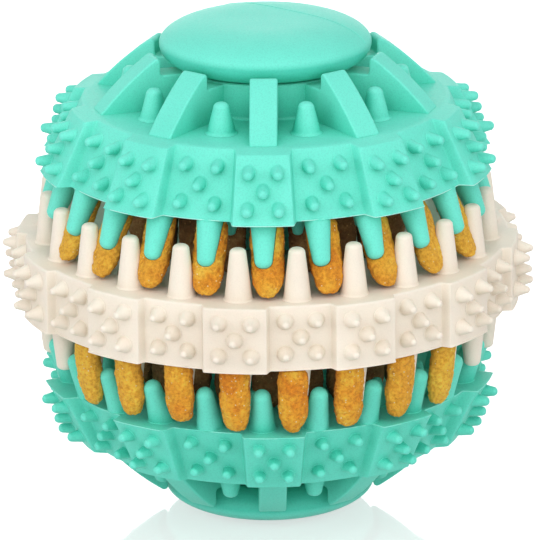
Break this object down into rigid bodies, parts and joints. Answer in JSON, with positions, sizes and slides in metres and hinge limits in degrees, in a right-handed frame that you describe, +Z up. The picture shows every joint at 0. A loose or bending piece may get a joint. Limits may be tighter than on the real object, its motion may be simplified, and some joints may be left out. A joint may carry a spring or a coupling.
{
  "type": "dog toothbrush chew toy",
  "caption": "Ball-shaped rubber chew toy of stacked toothed rings with studded panels, finned ends and domed caps, holding treats between its teeth.",
  "frame": {"origin": "on the floor under the middle of the lower end cap", "axes": "+Z up along the axis of the stacked rings, -Y towards the side with the treats, +X to its right"},
  "size_m": [0.0798, 0.0798, 0.076],
  "materials": {
    "teal_rubber": "satin moulded rubber",
    "white_rubber": "satin moulded rubber",
    "front_treat": "baked crumb",
    "inner_treat": "baked crumb"
  },
  "bodies": {
    "lower_cap": {"lower_end_cap": "teal_rubber"},
    "lower_ring": {"lower_tooth_ring": "teal_rubber", "lower_treat_1": "front_treat", "lower_treat_2": "front_treat", "lower_treat_3": "front_treat", "lower_treat_4": "front_treat", "lower_treat_5": "front_treat", "lower_treat_6": "front_treat", "lower_treat_7": "front_treat", "lower_treat_8": "front_treat", "lower_inner_treat_1": "inner_treat", "lower_inner_treat_2": "inner_treat", "lower_inner_treat_3": "inner_treat", "lower_inner_treat_4": "inner_treat", "lower_inner_treat_5": "inner_treat", "lower_inner_treat_6": "inner_treat", "lower_inner_treat_7": "inner_treat", "lower_inner_treat_8": "inner_treat", "lower_inner_treat_9": "inner_treat"},
    "middle_ring": {"middle_tooth_ring": "white_rubber", "upper_treat_1": "front_treat", "upper_treat_2": "front_treat", "upper_treat_3": "front_treat", "upper_treat_4": "front_treat", "upper_treat_5": "front_treat", "upper_treat_6": "front_treat", "upper_treat_7": "front_treat", "upper_treat_8": "front_treat", "upper_treat_9": "front_treat", "upper_inner_treat_1": "inner_treat", "upper_inner_treat_2": "inner_treat", "upper_inner_treat_3": "inner_treat", "upper_inner_treat_4": "inner_treat", "upper_inner_treat_5": "inner_treat", "upper_inner_treat_6": "inner_treat", "upper_inner_treat_7": "inner_treat", "upper_inner_treat_8": "inner_treat", "upper_inner_treat_9": "inner_treat"},
    "upper_ring": {"upper_tooth_ring": "teal_rubber"},
    "upper_cap": {"upper_end_cap": "teal_rubber"}
  },
  "joints": [
    {"name": "lower_ring_lift", "type": "slide", "parent": "lower_cap", "child": "lower_ring", "axis": [0, 0, 1], "range_m": [0, 0.067]},
    {"name": "middle_ring_lift", "type": "slide", "parent": "lower_ring", "child": "middle_ring", "axis": [0, 0, 1], "range_m": [0, 0.04]},
    {"name": "upper_ring_lift", "type": "slide", "parent": "middle_ring", "child": "upper_ring", "axis": [0, 0, 1], "range_m": [0, 0.03]},
    {"name": "upper_cap_lift", "type": "slide", "parent": "upper_ring", "child": "upper_cap", "axis": [0, 0, 1], "range_m": [0, 0.034]}
  ]
}
